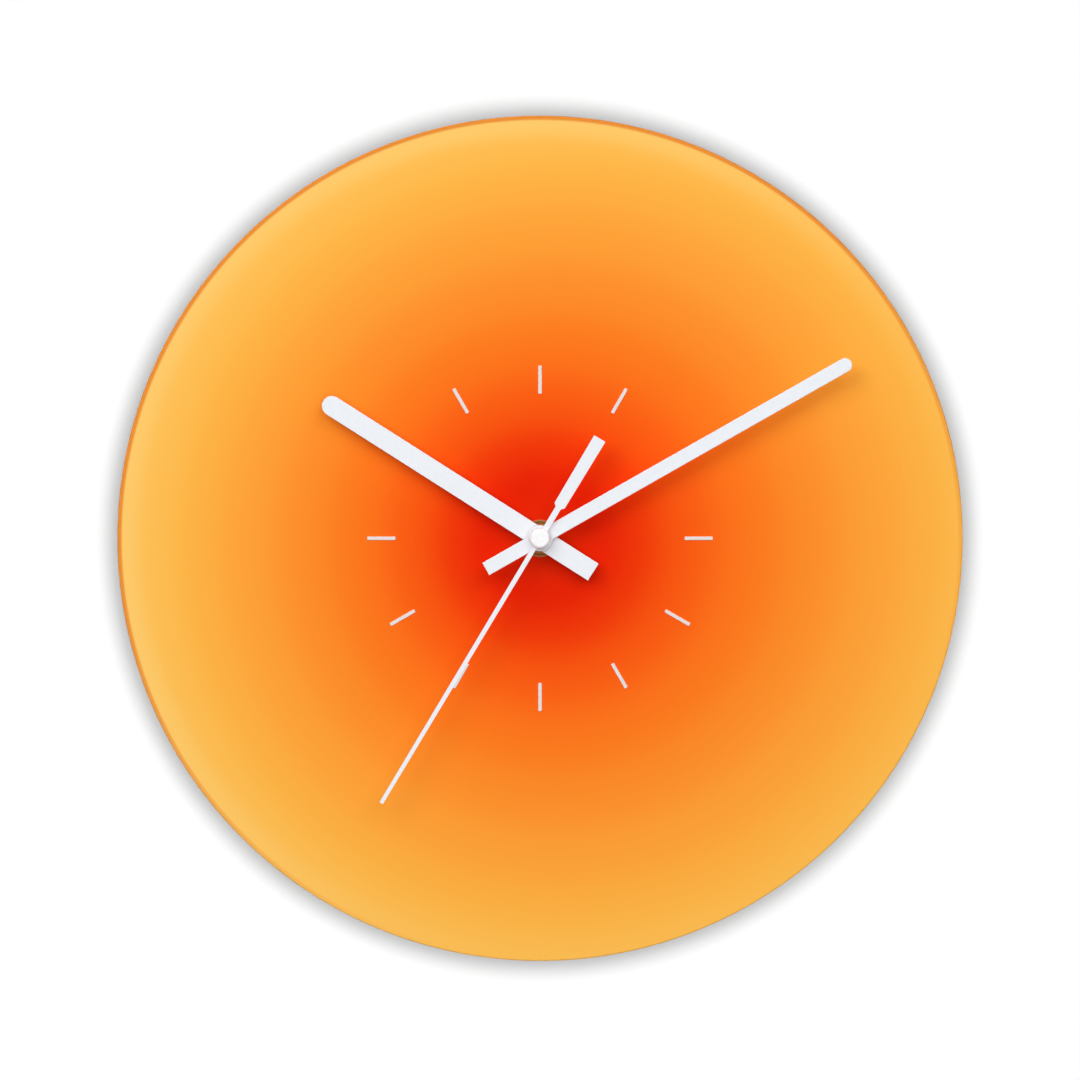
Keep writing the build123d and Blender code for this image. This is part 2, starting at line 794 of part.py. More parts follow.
def make_chip_cover():
    at = (board_left + chip_inset[0], board_low + chip_inset[1])
    cover = rod(chip_radius, board_top + touch, board_top + touch + chip_height, at)
    crown = cover.edges().filter_by(GeomType.CIRCLE).sort_by(Axis.Z)[-1]
    return fillet(crown, min(chip_round, 0.9 * chip_height))


def make_quartz_crystal():
    x1 = board_right - crystal_inset[0] + crystal_length
    height = board_top + running_fit + crystal_diameter / 2
    can = long_rod(crystal_diameter / 2, x1 - crystal_length, x1, board_low + crystal_inset[1], height)
    return fillet(can.edges().filter_by(GeomType.CIRCLE).sort_by(Axis.X)[-1], crystal_round)


def make_positive_contact():
    x0, x1 = half_inner - contact_sheet, half_inner
    half = contact_half
    strip = block(x0, x1, cell_y - half, cell_y + half, cell_z - half, cell_z + half)
    strip += block(x0, x1, cell_y, board_high, lead_low, lead_high)
    return strip + block(x0, x1, board_high - 2 * half, board_high, lead_low, board_top)


def make_negative_contact():
    x0, x1 = -half_inner, contact_sheet - half_inner
    half = contact_half
    thick = contact_sheet / 2
    foot = board_left + contact_sheet + body_gap
    strip = block(x0, x1, cell_y - half, cell_y + half, cell_z - half, cell_z + half)
    strip += block(x0, x1, cell_y, inner_top, lead_low, lead_high)
    strip += block(x0, foot, inner_top - contact_sheet, inner_top, lead_low, lead_high)
    strip += block(foot - contact_sheet, foot, board_high + touch, inner_top, lead_low, board_top)
    root = (x0 + thick, cell_y - half + thick)
    crest = (cell_back - touch - thick, cell_y)
    tip = (x0 + 2 * contact_sheet + thick, cell_y + half)
    for start, end in ((root, crest), (crest, tip)):
        strip += bar(start, end, thick, cell_z - half / 2, cell_z + half / 2)
    return strip


def make_battery_can():
    radius = cell_diameter / 2 - cell_sleeve
    can = long_rod(radius, cell_back, cell_front - nub_length, cell_y, cell_z)
    can = fillet(can.edges().filter_by(GeomType.CIRCLE), cell_end_rim / 2)
    return can + long_rod(nub_radius, cell_back + cell_length / 2, cell_front, cell_y, cell_z)


def make_battery_sleeve():
    x0, x1 = cell_back + cell_end_rim, cell_front - nub_length - cell_end_rim
    sleeve = long_rod(cell_diameter / 2, x0, x1, cell_y, cell_z)
    return sleeve - long_rod(cell_diameter / 2 - cell_sleeve + press_fit, x0, x1, cell_y, cell_z)


pieces = {
    "dial_disc": make_dial_disc,
    "hour_markers": make_hour_markers,
    "hour_hand": make_hour_hand,
    "minute_hand": make_minute_hand,
    "second_hand": make_second_hand,
    "second_hand_cap": make_second_hand_cap,
    "fixing_nut": make_fixing_nut,
    "dial_washer": make_dial_washer,
    "rubber_gasket": make_rubber_gasket,
    "hanger_bracket": make_hanger_bracket,
    "threaded_bushing": make_threaded_bushing,
    "front_case": make_front_case,
    "rear_case": make_rear_case,
    "train_bridge": make_train_bridge,
    "second_arbor": make_second_arbor,
    "second_wheel": make_second_wheel,
    "third_wheel": make_third_wheel,
    "step_wheel": make_step_wheel,
    "rotor_arbor": make_rotor_arbor,
    "rotor_magnet": make_rotor_magnet,
    "centre_wheel": make_centre_wheel,
    "clutch_spring": make_clutch_spring,
    "minute_tube": make_minute_tube,
    "idler_wheel": make_idler_wheel,
    "hour_wheel": make_hour_wheel,
    "setting_pinion": make_setting_pinion,
    "setting_knob": make_setting_knob,
    "stator": make_stator,
    "coil_core": make_coil_core,
    "coil_bobbin": make_coil_bobbin,
    "coil_winding": make_coil_winding,
    "circuit_board": make_circuit_board,
    "chip_cover": make_chip_cover,
    "quartz_crystal": make_quartz_crystal,
    "positive_contact": make_positive_contact,
    "negative_contact": make_negative_contact,
    "battery_can": make_battery_can,
    "battery_sleeve": make_battery_sleeve,
}

# Stand each piece up against the wall and write it out
upright = Rot(90, 0, 0)
os.makedirs("parts", exist_ok=True)
for name, make in pieces.items():
    drawn = make()
    solids = [upright * solid for solid in (drawn if isinstance(drawn, list) else drawn.solids())]
    shape = solids[0] if len(solids) == 1 else Compound(children=solids)
    export_step(shape, f"parts/{name}.step")
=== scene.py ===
import json
import math

import bpy
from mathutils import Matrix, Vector


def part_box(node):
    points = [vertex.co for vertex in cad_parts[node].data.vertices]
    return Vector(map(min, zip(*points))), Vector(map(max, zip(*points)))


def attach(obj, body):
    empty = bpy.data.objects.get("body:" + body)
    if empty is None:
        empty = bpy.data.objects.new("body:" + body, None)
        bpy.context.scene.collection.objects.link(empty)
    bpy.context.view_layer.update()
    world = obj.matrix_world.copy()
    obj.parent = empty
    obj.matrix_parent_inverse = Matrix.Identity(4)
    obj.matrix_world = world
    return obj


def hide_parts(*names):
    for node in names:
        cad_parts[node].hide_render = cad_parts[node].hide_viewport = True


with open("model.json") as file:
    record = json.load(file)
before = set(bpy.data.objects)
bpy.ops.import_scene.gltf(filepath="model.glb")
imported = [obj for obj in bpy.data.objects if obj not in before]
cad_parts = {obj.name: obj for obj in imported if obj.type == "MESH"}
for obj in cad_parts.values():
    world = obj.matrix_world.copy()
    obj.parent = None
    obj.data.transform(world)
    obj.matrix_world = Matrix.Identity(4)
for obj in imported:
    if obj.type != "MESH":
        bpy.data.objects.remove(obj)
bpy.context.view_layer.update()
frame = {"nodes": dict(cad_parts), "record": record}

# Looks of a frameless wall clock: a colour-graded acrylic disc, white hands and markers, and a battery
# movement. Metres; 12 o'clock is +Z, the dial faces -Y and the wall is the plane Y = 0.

node = frame["nodes"]
scene = bpy.context.scene
scene.view_settings.view_transform = "Standard"

MM = 0.001
# Nearly all values of a noise texture lie between these two.
NOISE_LOW, NOISE_HIGH = 0.3, 0.7
# Sockets of a Mix node that mixes colours: its share, its two colours and what comes out.
SHARE, UNDER, OVER, MIXED = 0, 6, 7, 2
# What the shader of every bare metal has.
METAL = {"Metallic": 1.0}

# The disc as the CAD model has it.
dial_low, dial_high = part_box("dial_disc")
dial_front, dial_back = dial_low.y, dial_high.y
dial_radius = dial_high.x


def linear(code):
    """An sRGB hex colour as linear red, green, blue and full alpha."""
    parts = [int(code[i:i + 2], 16) / 255 for i in (1, 3, 5)]
    return tuple(c / 12.92 if c <= 0.04045 else ((c + 0.055) / 1.055) ** 2.4 for c in parts) + (1.0,)


def per_mm(size):
    """Texture scale of a pattern whose features are this many millimetres across."""
    return 1 / (size * MM)


def wave_scale(spacing):
    """Wave texture scale of lines this many millimetres apart. At a scale of 1 they are pi / 10 apart."""
    return math.pi / 10 / (spacing * MM)


def add(tree, kind, inputs=None, **settings):
    """Adds a node. Settings are its own properties; each input gets a value or another node's output."""
    made = tree.nodes.new(kind)
    for name, value in settings.items():
        setattr(made, name, value)
    for socket, value in (inputs or {}).items():
        if isinstance(value, bpy.types.NodeSocket):
            tree.links.new(value, made.inputs[socket])
        else:
            made.inputs[socket].default_value = value
    return made


def bare_tree(owner):
    """The emptied node tree of a material or world."""
    owner.use_nodes = True
    owner.node_tree.nodes.clear()
    return owner.node_tree


def surface(name, shader):
    """A new material, its tree, the piece's own coordinates and its shader with these constants."""
    material = bpy.data.materials.new(name)
    tree = bare_tree(material)
    place = add(tree, "ShaderNodeTexCoord").outputs["Object"]
    body = add(tree, "ShaderNodeBsdfPrincipled", shader)
    add(tree, "ShaderNodeOutputMaterial", {"Surface": body.outputs["BSDF"]})
    return material, tree, place, body


def dress(tree, body, colour, rough, height, depth):
    """Gives a shader its colour and roughness, and a relief from this height, so many millimetres deep."""
    relief = add(tree, "ShaderNodeBump", {"Height": height, "Distance": depth * MM, "Strength": 1.0})
    tree.links.new(colour, body.inputs["Base Color"])
    tree.links.new(rough, body.inputs["Roughness"])
    tree.links.new(relief.outputs["Normal"], body.inputs["Normal"])


def set_stops(ramp, stops):
    """Gives a colour ramp these stops: place from 0 to 1, and colour."""
    while len(ramp.elements) > 1:
        ramp.elements.remove(ramp.elements[-1])
    ramp.elements[0].position = stops[0][0]
    ramp.elements[0].color = linear(stops[0][1])
    for position, code in stops[1:]:
        ramp.elements.new(position).color = linear(code)


def grained(name, tones, grain, rough, depth, stretch=(1, 1, 1), shader=None):
    """A surface whose colour, roughness and relief follow one grain.

    Grain and depth are in millimetres, rough is the least and greatest roughness, and stretch below 1 along
    an axis draws the grain out along it.
    """
    material, tree, place, body = surface(name, shader or {})
    drawn = add(tree, "ShaderNodeMapping", {"Vector": place, "Scale": stretch})
    noise = add(tree, "ShaderNodeTexNoise", {
        "Vector": drawn.outputs["Vector"], "Scale": per_mm(grain), "Detail": 3.0, "Roughness": 0.6})
    height = noise.outputs["Fac"]
    tone = add(tree, "ShaderNodeValToRGB", {"Fac": height})
    set_stops(tone.color_ramp, [(NOISE_LOW, tones[0]), (NOISE_HIGH, tones[1])])
    gloss = add(tree, "ShaderNodeMapRange", {
        "Value": height, "From Min": NOISE_LOW, "From Max": NOISE_HIGH,
        "To Min": rough[0], "To Max": rough[1]})
    dress(tree, body, tone.outputs["Color"], gloss.outputs["Result"], height, depth)
    return material


# Camera, square on to the dial. The view is this wide at the dial's front face.
view_width = 383.2 * MM
camera_distance = 6.0
camera_height = -0.6 * MM
camera = bpy.data.objects.new("camera", bpy.data.cameras.new("camera"))
camera.data.sensor_width = 36
camera.data.lens = camera.data.sensor_width * camera_distance / view_width
camera.location = (0, dial_front - camera_distance, camera_height)
camera.rotation_euler = (math.pi / 2, 0, 0)
scene.collection.objects.link(camera)
scene.camera = camera


def back_printed_acrylic():
    """Cast acrylic disc, colour printed on its back under a white flood coat and left satin in front.

    To the eye: a soft even run from deep red to amber with no edge in it, paler towards the upper left as
    painted light, a pale band of painted highlight at the rim, a thin darker line of painted shade at the
    very edge, and a chalk-white back.
    """
    material, tree, place, body = surface("cast_acrylic_back_printed", {"Specular IOR Level": 0.03})
    # Where a point lies on the dial: its place without depth, its distance from the axis and its direction.
    flat = add(tree, "ShaderNodeVectorMath", {
        0: place, 1: (1, 0, 1)}, operation="MULTIPLY").outputs["Vector"]
    radius = add(tree, "ShaderNodeVectorMath", {0: flat}, operation="LENGTH").outputs["Value"]
    facing = add(tree, "ShaderNodeVectorMath", {0: flat}, operation="NORMALIZE").outputs["Vector"]

    # Painted light: the print is set a little off centre, so its colours reach further out to the right and
    # below and the dial is paler towards the upper left, where the light comes from.
    painted_light_drift = (-0.065, 0, 0.018)
    painted_light_lean = add(tree, "ShaderNodeVectorMath", {0: place, 1: painted_light_drift}, operation="DOT_PRODUCT").outputs["Value"]
    painted_light_radius = add(tree, "ShaderNodeMath", {0: radius, 1: painted_light_lean}, operation="ADD").outputs[0]
    share = add(tree, "ShaderNodeMath", {0: painted_light_radius, 1: dial_radius}, operation="DIVIDE").outputs[0]
    ink = add(tree, "ShaderNodeValToRGB", {"Fac": share})
    ink.color_ramp.interpolation = "CARDINAL"
    set_stops(ink.color_ramp, [
        (0.05, "#DE2504"), (0.17, "#E82A05"), (0.27, "#F44A0C"), (0.4, "#FB6B18"), (0.53, "#FC8223"),
        (0.67, "#FD9731"), (0.8, "#FDA83D"), (0.9, "#FDB548"), (1.0, "#FDBF56")])

    # Painted highlight: a pale band near the rim, strongest at the upper left, stands in for the rounded
    # rim catching the light from there.
    painted_highlight_side = (-0.75, 0, 0.66)
    painted_highlight_start, painted_highlight_full = dial_radius - 11 * MM, dial_radius - 3 * MM
    painted_highlight_strength = 0.4
    turned = add(tree, "ShaderNodeVectorMath", {0: facing, 1: painted_highlight_side}, operation="DOT_PRODUCT")
    side = add(tree, "ShaderNodeMapRange", {
        "Value": turned.outputs["Value"], "From Min": -0.7, "From Max": 0.7, "To Max": painted_highlight_strength},
        interpolation_type="SMOOTHSTEP").outputs[0]
    rim = add(tree, "ShaderNodeMapRange", {
        "Value": radius, "From Min": painted_highlight_start, "From Max": painted_highlight_full},
        interpolation_type="SMOOTHSTEP").outputs[0]
    painted_highlight = add(tree, "ShaderNodeMath", {0: rim, 1: side}, operation="MULTIPLY").outputs[0]
    with_painted_highlight = add(tree, "ShaderNodeMix", {
        SHARE: painted_highlight, UNDER: ink.outputs["Color"], OVER: linear("#FED680")}, data_type="RGBA").outputs[MIXED]

    # Painted shade: a darker line at the very edge shows all round the top and fades below, as the shade
    # along the rim's edge.
    painted_shade_side = (-0.45, 0, 0.9)
    painted_shade_start, painted_shade_full = dial_radius - 2 * MM, dial_radius - 1 * MM
    upward = add(tree, "ShaderNodeVectorMath", {0: facing, 1: painted_shade_side}, operation="DOT_PRODUCT")
    above = add(tree, "ShaderNodeMapRange", {
        "Value": upward.outputs["Value"], "From Min": -1.0, "From Max": 0.5},
        interpolation_type="SMOOTHSTEP").outputs[0]
    edge = add(tree, "ShaderNodeMapRange", {
        "Value": radius, "From Min": painted_shade_start, "From Max": painted_shade_full},
        interpolation_type="SMOOTHSTEP").outputs[0]
    painted_shade_line = add(tree, "ShaderNodeMath", {0: edge, 1: above}, operation="MULTIPLY").outputs[0]
    with_painted_shade = add(tree, "ShaderNodeMix", {
        SHARE: painted_shade_line, UNDER: with_painted_highlight, OVER: linear("#EA8E35")}, data_type="RGBA").outputs[MIXED]

    # The flood coat, from the back's rounded edge on, with the faint clouding of a hand-pulled screen.
    coat_start, coat_full = dial_back - 0.5 * MM, dial_back - 0.3 * MM
    cloud = add(tree, "ShaderNodeTexNoise", {"Vector": place, "Scale": per_mm(14), "Detail": 5.0})
    coat = add(tree, "ShaderNodeValToRGB", {"Fac": cloud.outputs["Fac"]})
    set_stops(coat.color_ramp, [(0.25, "#EDEAE5"), (0.75, "#F1EFEA")])
    backward = add(tree, "ShaderNodeSeparateXYZ", {"Vector": place}).outputs["Y"]
    behind = add(tree, "ShaderNodeMapRange", {
        "Value": backward, "From Min": coat_start, "From Max": coat_full}).outputs[0]
    colour = add(tree, "ShaderNodeMix", {
        SHARE: behind, UNDER: with_painted_shade, OVER: coat.outputs["Color"]}, data_type="RGBA").outputs[MIXED]

    # A satin grain of 0.2 mm is too fine to show, so it is drawn at 0.7 mm.
    satin = add(tree, "ShaderNodeTexNoise", {
        "Vector": place, "Scale": per_mm(0.7), "Detail": 2.0}).outputs["Fac"]
    gloss = add(tree, "ShaderNodeMapRange", {
        "Value": satin, "From Min": NOISE_LOW, "From Max": NOISE_HIGH, "To Min": 0.3, "To Max": 0.38})
    dress(tree, body, colour, gloss.outputs["Result"], satin, depth=0.004)
    return material


def turned_brass():
    """Brass as the lathe left it: warm yellow, painted darker and browner than bright brass as painted
    shade for the nut under the hands, with rings that catch the light.
    """
    material, tree, place, body = surface("turned_brass", METAL)
    # A tool mark of 0.08 mm is too fine to show, so the rings are drawn 1.9 mm apart.
    rings = add(tree, "ShaderNodeTexWave", {
        "Vector": place, "Scale": wave_scale(1.9), "Distortion": 0.6, "Detail": 2.0, "Detail Scale": 1.5},
        wave_type="RINGS", rings_direction="Y").outputs["Fac"]
    tone = add(tree, "ShaderNodeValToRGB", {"Fac": rings})
    set_stops(tone.color_ramp, [(0.0, "#7C5228"), (1.0, "#B58450")])
    gloss = add(tree, "ShaderNodeMapRange", {"Value": rings, "To Min": 0.46, "To Max": 0.6})
    dress(tree, body, tone.outputs["Color"], gloss.outputs["Result"], rings, depth=0.01)
    return material


def enamelled_copper_wire():
    """Fine copper wire under clear enamel, wound in level layers: ruddy, with bright bands across it."""
    material, tree, place, body = surface("enamelled_copper_wire", METAL)
    # A wire of 0.03 mm is too fine to show, so the turns are drawn 0.35 mm apart.
    turns = add(tree, "ShaderNodeTexWave", {
        "Vector": place, "Scale": wave_scale(0.35), "Distortion": 0.4, "Detail": 1.0},
        wave_type="BANDS", bands_direction="X").outputs["Fac"]
    tone = add(tree, "ShaderNodeValToRGB", {"Fac": turns})
    set_stops(tone.color_ramp, [(0.0, "#7C3A1E"), (1.0, "#C8743F")])
    gloss = add(tree, "ShaderNodeMapRange", {"Value": turns, "To Min": 0.45, "To Max": 0.25})
    dress(tree, body, tone.outputs["Color"], gloss.outputs["Result"], turns, depth=0.05)
    return material


def cell_shrink_film():
    """Printed PVC film shrunk on the cell: glossy slate grey with faint ripples.

    The positive end has a blue-grey band between pale lines.
    """
    material, tree, place, body = surface("printed_shrink_film", {"Specular IOR Level": 0.5})
    sleeve_low, sleeve_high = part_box("battery_sleeve")
    lengthwise = add(tree, "ShaderNodeSeparateXYZ", {"Vector": place}).outputs["X"]
    along = add(tree, "ShaderNodeMapRange", {
        "Value": lengthwise, "From Min": sleeve_low.x, "From Max": sleeve_high.x})
    bands = add(tree, "ShaderNodeValToRGB", {"Fac": along.outputs["Result"]})
    bands.color_ramp.interpolation = "CONSTANT"
    set_stops(bands.color_ramp, [
        (0.0, "#3C4650"), (0.7, "#C9CED2"), (0.74, "#5F7F96"), (0.97, "#C9CED2")])
    ripple = add(tree, "ShaderNodeTexNoise", {
        "Vector": place, "Scale": per_mm(5), "Detail": 2.0}).outputs["Fac"]
    dulled = add(tree, "ShaderNodeMapRange", {"Value": ripple, "To Min": 0.0, "To Max": 0.09}).outputs[0]
    colour = add(tree, "ShaderNodeMix", {
        SHARE: dulled, UNDER: bands.outputs["Color"], OVER: linear("#D8DCDF")},
        data_type="RGBA").outputs[MIXED]
    gloss = add(tree, "ShaderNodeMapRange", {"Value": ripple, "To Min": 0.16, "To Max": 0.3})
    dress(tree, body, colour, gloss.outputs["Result"], ripple, depth=0.06)
    return material


# The finish of each material slot in the record. Grain that is really finer than about 0.3 mm is drawn
# coarser, so that it shows.
finish = {
    "dial_acrylic": back_printed_acrylic(),
    # White ink pulled through a screen: chalky, a little red showing through, with a faint mesh left in it.
    "marker_white": grained(
        "screen_printed_ink", ("#DED5D1", "#E8E0DC"), grain=0.5, rough=(0.5, 0.62), depth=0.01),
    # Stamped aluminium under satin white enamel: a cool white with a slight orange peel.
    "hand_white": grained(
        "satin_white_enamel", ("#E8ECF1", "#EDF0F5"), grain=1.4, rough=(0.32, 0.4), depth=0.008),
    # Gloss ABS from a polished mould: bright white with a small clean highlight.
    "cap_white": grained(
        "polished_white_abs", ("#F7F7F7", "#FBFBFB"), grain=1.2, rough=(0.24, 0.32), depth=0.003),
    "brass": turned_brass(),
    # Moulded nitrile rubber: dull near-black with a fine bloom.
    "rubber_black": grained(
        "moulded_nitrile_rubber", ("#17171A", "#232327"), grain=0.9, rough=(0.7, 0.85), depth=0.02),
    # Pressed steel, bright zinc plated: pale grey, cloudy crystals and a little blue in it.
    "zinc_steel": grained(
        "zinc_plated_steel", ("#A4A9AE", "#C9CCCE"), grain=2.2, rough=(0.28, 0.42), depth=0.006,
        shader=METAL),
    # Black ABS from a spark-eroded mould: matt charcoal with an even grit.
    "case_black": grained(
        "spark_textured_abs", ("#17181A", "#242629"), grain=0.55, rough=(0.5, 0.66), depth=0.03),
    # Grey glass-filled nylon as moulded: satin, with streaks of flow.
    "bridge_grey": grained(
        "moulded_filled_nylon", ("#4A4D50", "#5B5E61"), grain=1.6, rough=(0.45, 0.6), depth=0.01,
        stretch=(1, 1, 0.3)),
    # Unfilled acetal as moulded: waxy off-white, a little soft in its shine.
    "gear_natural": grained(
        "moulded_acetal", ("#DEDACD", "#ECE9DF"), grain=1.1, rough=(0.34, 0.46), depth=0.006),
    # Ground steel rod: bright, with fine lines round it.
    "arbor_steel": grained(
        "ground_steel", ("#A9ACAF", "#CDCFD1"), grain=0.3, rough=(0.18, 0.32), depth=0.004,
        stretch=(1, 6, 1), shader=METAL),
    # Sintered ferrite: dark, dull and granular.
    "magnet_dark": grained(
        "sintered_ferrite", ("#262628", "#39393C"), grain=0.4, rough=(0.55, 0.75), depth=0.02),
    # Stamped and annealed nickel iron: mid grey with a soft rolled grain.
    "soft_iron": grained(
        "stamped_nickel_iron", ("#7D8083", "#A0A3A5"), grain=0.5, rough=(0.35, 0.5), depth=0.006,
        stretch=(0.15, 1, 1), shader=METAL),
    # Natural nylon as moulded: milky, with a soft shine.
    "bobbin_white": grained(
        "moulded_nylon", ("#D3D0C4", "#E2DFD5"), grain=1.0, rough=(0.4, 0.52), depth=0.008),
    "copper_wire": enamelled_copper_wire(),
    # Glass-epoxy board under green solder mask: glossy, a little mottled by the glass cloth in it.
    "board_green": grained(
        "solder_masked_board", ("#14502C", "#1E6A3B"), grain=0.7, rough=(0.25, 0.4), depth=0.01),
    # A drop of black epoxy over the chip: shiny, with the slight waves of a poured surface.
    "chip_black": grained(
        "poured_black_epoxy", ("#0D0D0E", "#18181A"), grain=1.5, rough=(0.2, 0.35), depth=0.02),
    # Drawn can, bright nickel plated: near-mirror, with faint drawing lines along it.
    "crystal_can": grained(
        "nickel_plated_can", ("#B4B4B2", "#D2D1CE"), grain=0.6, rough=(0.12, 0.24), depth=0.004,
        stretch=(0.2, 1, 1), shader=METAL),
    # Spring steel strip, nickel plated: slightly warm, with a rolled grain along it.
    "contact_nickel": grained(
        "nickel_plated_strip", ("#A9A69F", "#CBC8C1"), grain=0.6, rough=(0.22, 0.36), depth=0.006,
        stretch=(1, 1, 0.2), shader=METAL),
    # ABS from a satin mould: soft black, a shade lighter than the case.
    "knob_black": grained(
        "satin_black_abs", ("#1E1F22", "#2C2E31"), grain=0.8, rough=(0.36, 0.5), depth=0.012),
    # Deep-drawn steel, nickel plated: bright, with faint drawing lines along the cell.
    "cell_metal": grained(
        "nickel_plated_steel", ("#ADAEAF", "#CFD0D0"), grain=0.7, rough=(0.18, 0.3), depth=0.004,
        stretch=(0.25, 1, 1), shader=METAL),
    "cell_sleeve": cell_shrink_film(),
}

for row in frame["record"]["subparts"]:
    slots = node[row["node"]].data.materials
    slots.clear()
    slots.append(finish[row["material_slot"]])


def marker_tree(material):
    """The ring of printed bars: one bar with rounded corners and a softened top, turned round the axis."""
    # A bar's sides stand straight for this share of its height, and its top has this share of its width.
    straight, crown_width = 0.7, 0.8
    corner_steps = 4
    weld = 0.001 * MM
    tree = bpy.data.node_groups.new("hour_marker_ring", "GeometryNodeTree")
    tree.interface.new_socket("Count", in_out="INPUT", socket_type="NodeSocketInt")
    for name in ("Inner Radius", "Length", "Width", "Height", "Corner", "Face"):
        tree.interface.new_socket(name, in_out="INPUT", socket_type="NodeSocketFloat")
    tree.interface.new_socket("Bars", in_out="OUTPUT", socket_type="NodeSocketGeometry")
    given = add(tree, "NodeGroupInput").outputs

    # One bar, lying flat.
    outline = add(tree, "GeometryNodeCurvePrimitiveQuadrilateral", {
        "Width": given["Width"], "Height": given["Length"]})
    rounded = add(tree, "GeometryNodeFilletCurve", {
        "Curve": outline.outputs[0], "Radius": given["Corner"], "Count": corner_steps}, mode="POLY")
    foot = add(tree, "GeometryNodeFillCurve", {"Curve": rounded.outputs[0]}, mode="NGONS").outputs[0]
    most = add(tree, "ShaderNodeMath", {0: given["Height"], 1: straight}, operation="MULTIPLY").outputs[0]
    rest = add(tree, "ShaderNodeMath", {0: given["Height"], 1: most}, operation="SUBTRACT").outputs[0]
    sides = add(tree, "GeometryNodeExtrudeMesh", {"Mesh": foot, "Offset Scale": most, "Individual": False})
    crown = add(tree, "GeometryNodeExtrudeMesh", {
        "Mesh": sides.outputs["Mesh"], "Selection": sides.outputs["Top"], "Offset Scale": rest,
        "Individual": False})
    drawn_in = add(tree, "GeometryNodeScaleElements", {
        "Geometry": crown.outputs["Mesh"], "Selection": crown.outputs["Top"], "Scale": crown_width,
        "Axis": (1, 0, 0)}, scale_mode="SINGLE_AXIS")
    under = add(tree, "GeometryNodeFlipFaces", {"Mesh": foot})
    both = add(tree, "GeometryNodeJoinGeometry")
    tree.links.new(under.outputs[0], both.inputs[0])
    tree.links.new(drawn_in.outputs[0], both.inputs[0])
    closed = add(tree, "GeometryNodeMergeByDistance", {"Geometry": both.outputs[0], "Distance": weld})

    # The bar stood on the dial at 12, and turned round to each hour.
    middle = add(tree, "ShaderNodeMath", {0: given["Length"], 1: 0.5, 2: given["Inner Radius"]},
                 operation="MULTIPLY_ADD").outputs[0]
    at = add(tree, "ShaderNodeCombineXYZ", {"Y": given["Face"], "Z": middle})
    bar = add(tree, "GeometryNodeTransform", {
        "Geometry": closed.outputs[0], "Translation": at.outputs[0], "Rotation": (math.pi / 2, 0, 0)})
    step = add(tree, "ShaderNodeMath", {0: 2 * math.pi, 1: given["Count"]}, operation="DIVIDE").outputs[0]
    index = add(tree, "GeometryNodeInputIndex").outputs[0]
    turn = add(tree, "ShaderNodeMath", {0: index, 1: step}, operation="MULTIPLY").outputs[0]
    turned = add(tree, "ShaderNodeCombineXYZ", {"Y": turn})
    centre = add(tree, "GeometryNodePoints", {"Count": given["Count"]})
    ring = add(tree, "GeometryNodeInstanceOnPoints", {
        "Points": centre.outputs[0], "Instance": bar.outputs[0], "Rotation": turned.outputs[0]})
    real = add(tree, "GeometryNodeRealizeInstances", {"Geometry": ring.outputs[0]})
    inked = add(tree, "GeometryNodeSetMaterial", {"Geometry": real.outputs[0], "Material": material})
    add(tree, "NodeGroupOutput", {0: inked.outputs[0]})
    return tree


def grown(name, tree, sizes):
    """The plain mesh that a node tree makes with these sizes, as a new piece."""
    seed = bpy.data.objects.new(name + "_seed", bpy.data.meshes.new(name + "_seed"))
    scene.collection.objects.link(seed)
    modifier = seed.modifiers.new("grow", "NODES")
    modifier.node_group = tree
    for item in tree.interface.items_tree:
        if item.item_type == "SOCKET" and item.in_out == "INPUT":
            modifier[item.identifier] = sizes[item.name]
    bpy.context.view_layer.update()
    mesh = bpy.data.meshes.new_from_object(seed.evaluated_get(bpy.context.evaluated_depsgraph_get()))
    seed.modifiers.remove(modifier)
    bpy.data.objects.remove(seed)
    piece = bpy.data.objects.new(name, mesh)
    scene.collection.objects.link(piece)
    return piece


# The printed hour markers, with the sizes of the CAD node that they stand for. The bar at 12 lies within
# this distance of the middle.
twelve_reach = 2 * MM
twelve = [v.co for v in node["hour_markers"].data.vertices if abs(v.co.x) < twelve_reach and v.co.z > 0]
twelve_inner, twelve_outer = min(p.z for p in twelve), max(p.z for p in twelve)
marker_ring = grown("marker_bars", marker_tree(finish["marker_white"]), {
    "Count": 12,
    "Inner Radius": twelve_inner,
    "Length": twelve_outer - twelve_inner,
    "Width": 2 * max(p.x for p in twelve),
    "Height": max(p.y for p in twelve) - min(p.y for p in twelve),
    "Corner": 0.3 * MM,
    "Face": dial_front,
})
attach(marker_ring, "clock_body")
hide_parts("hour_markers")


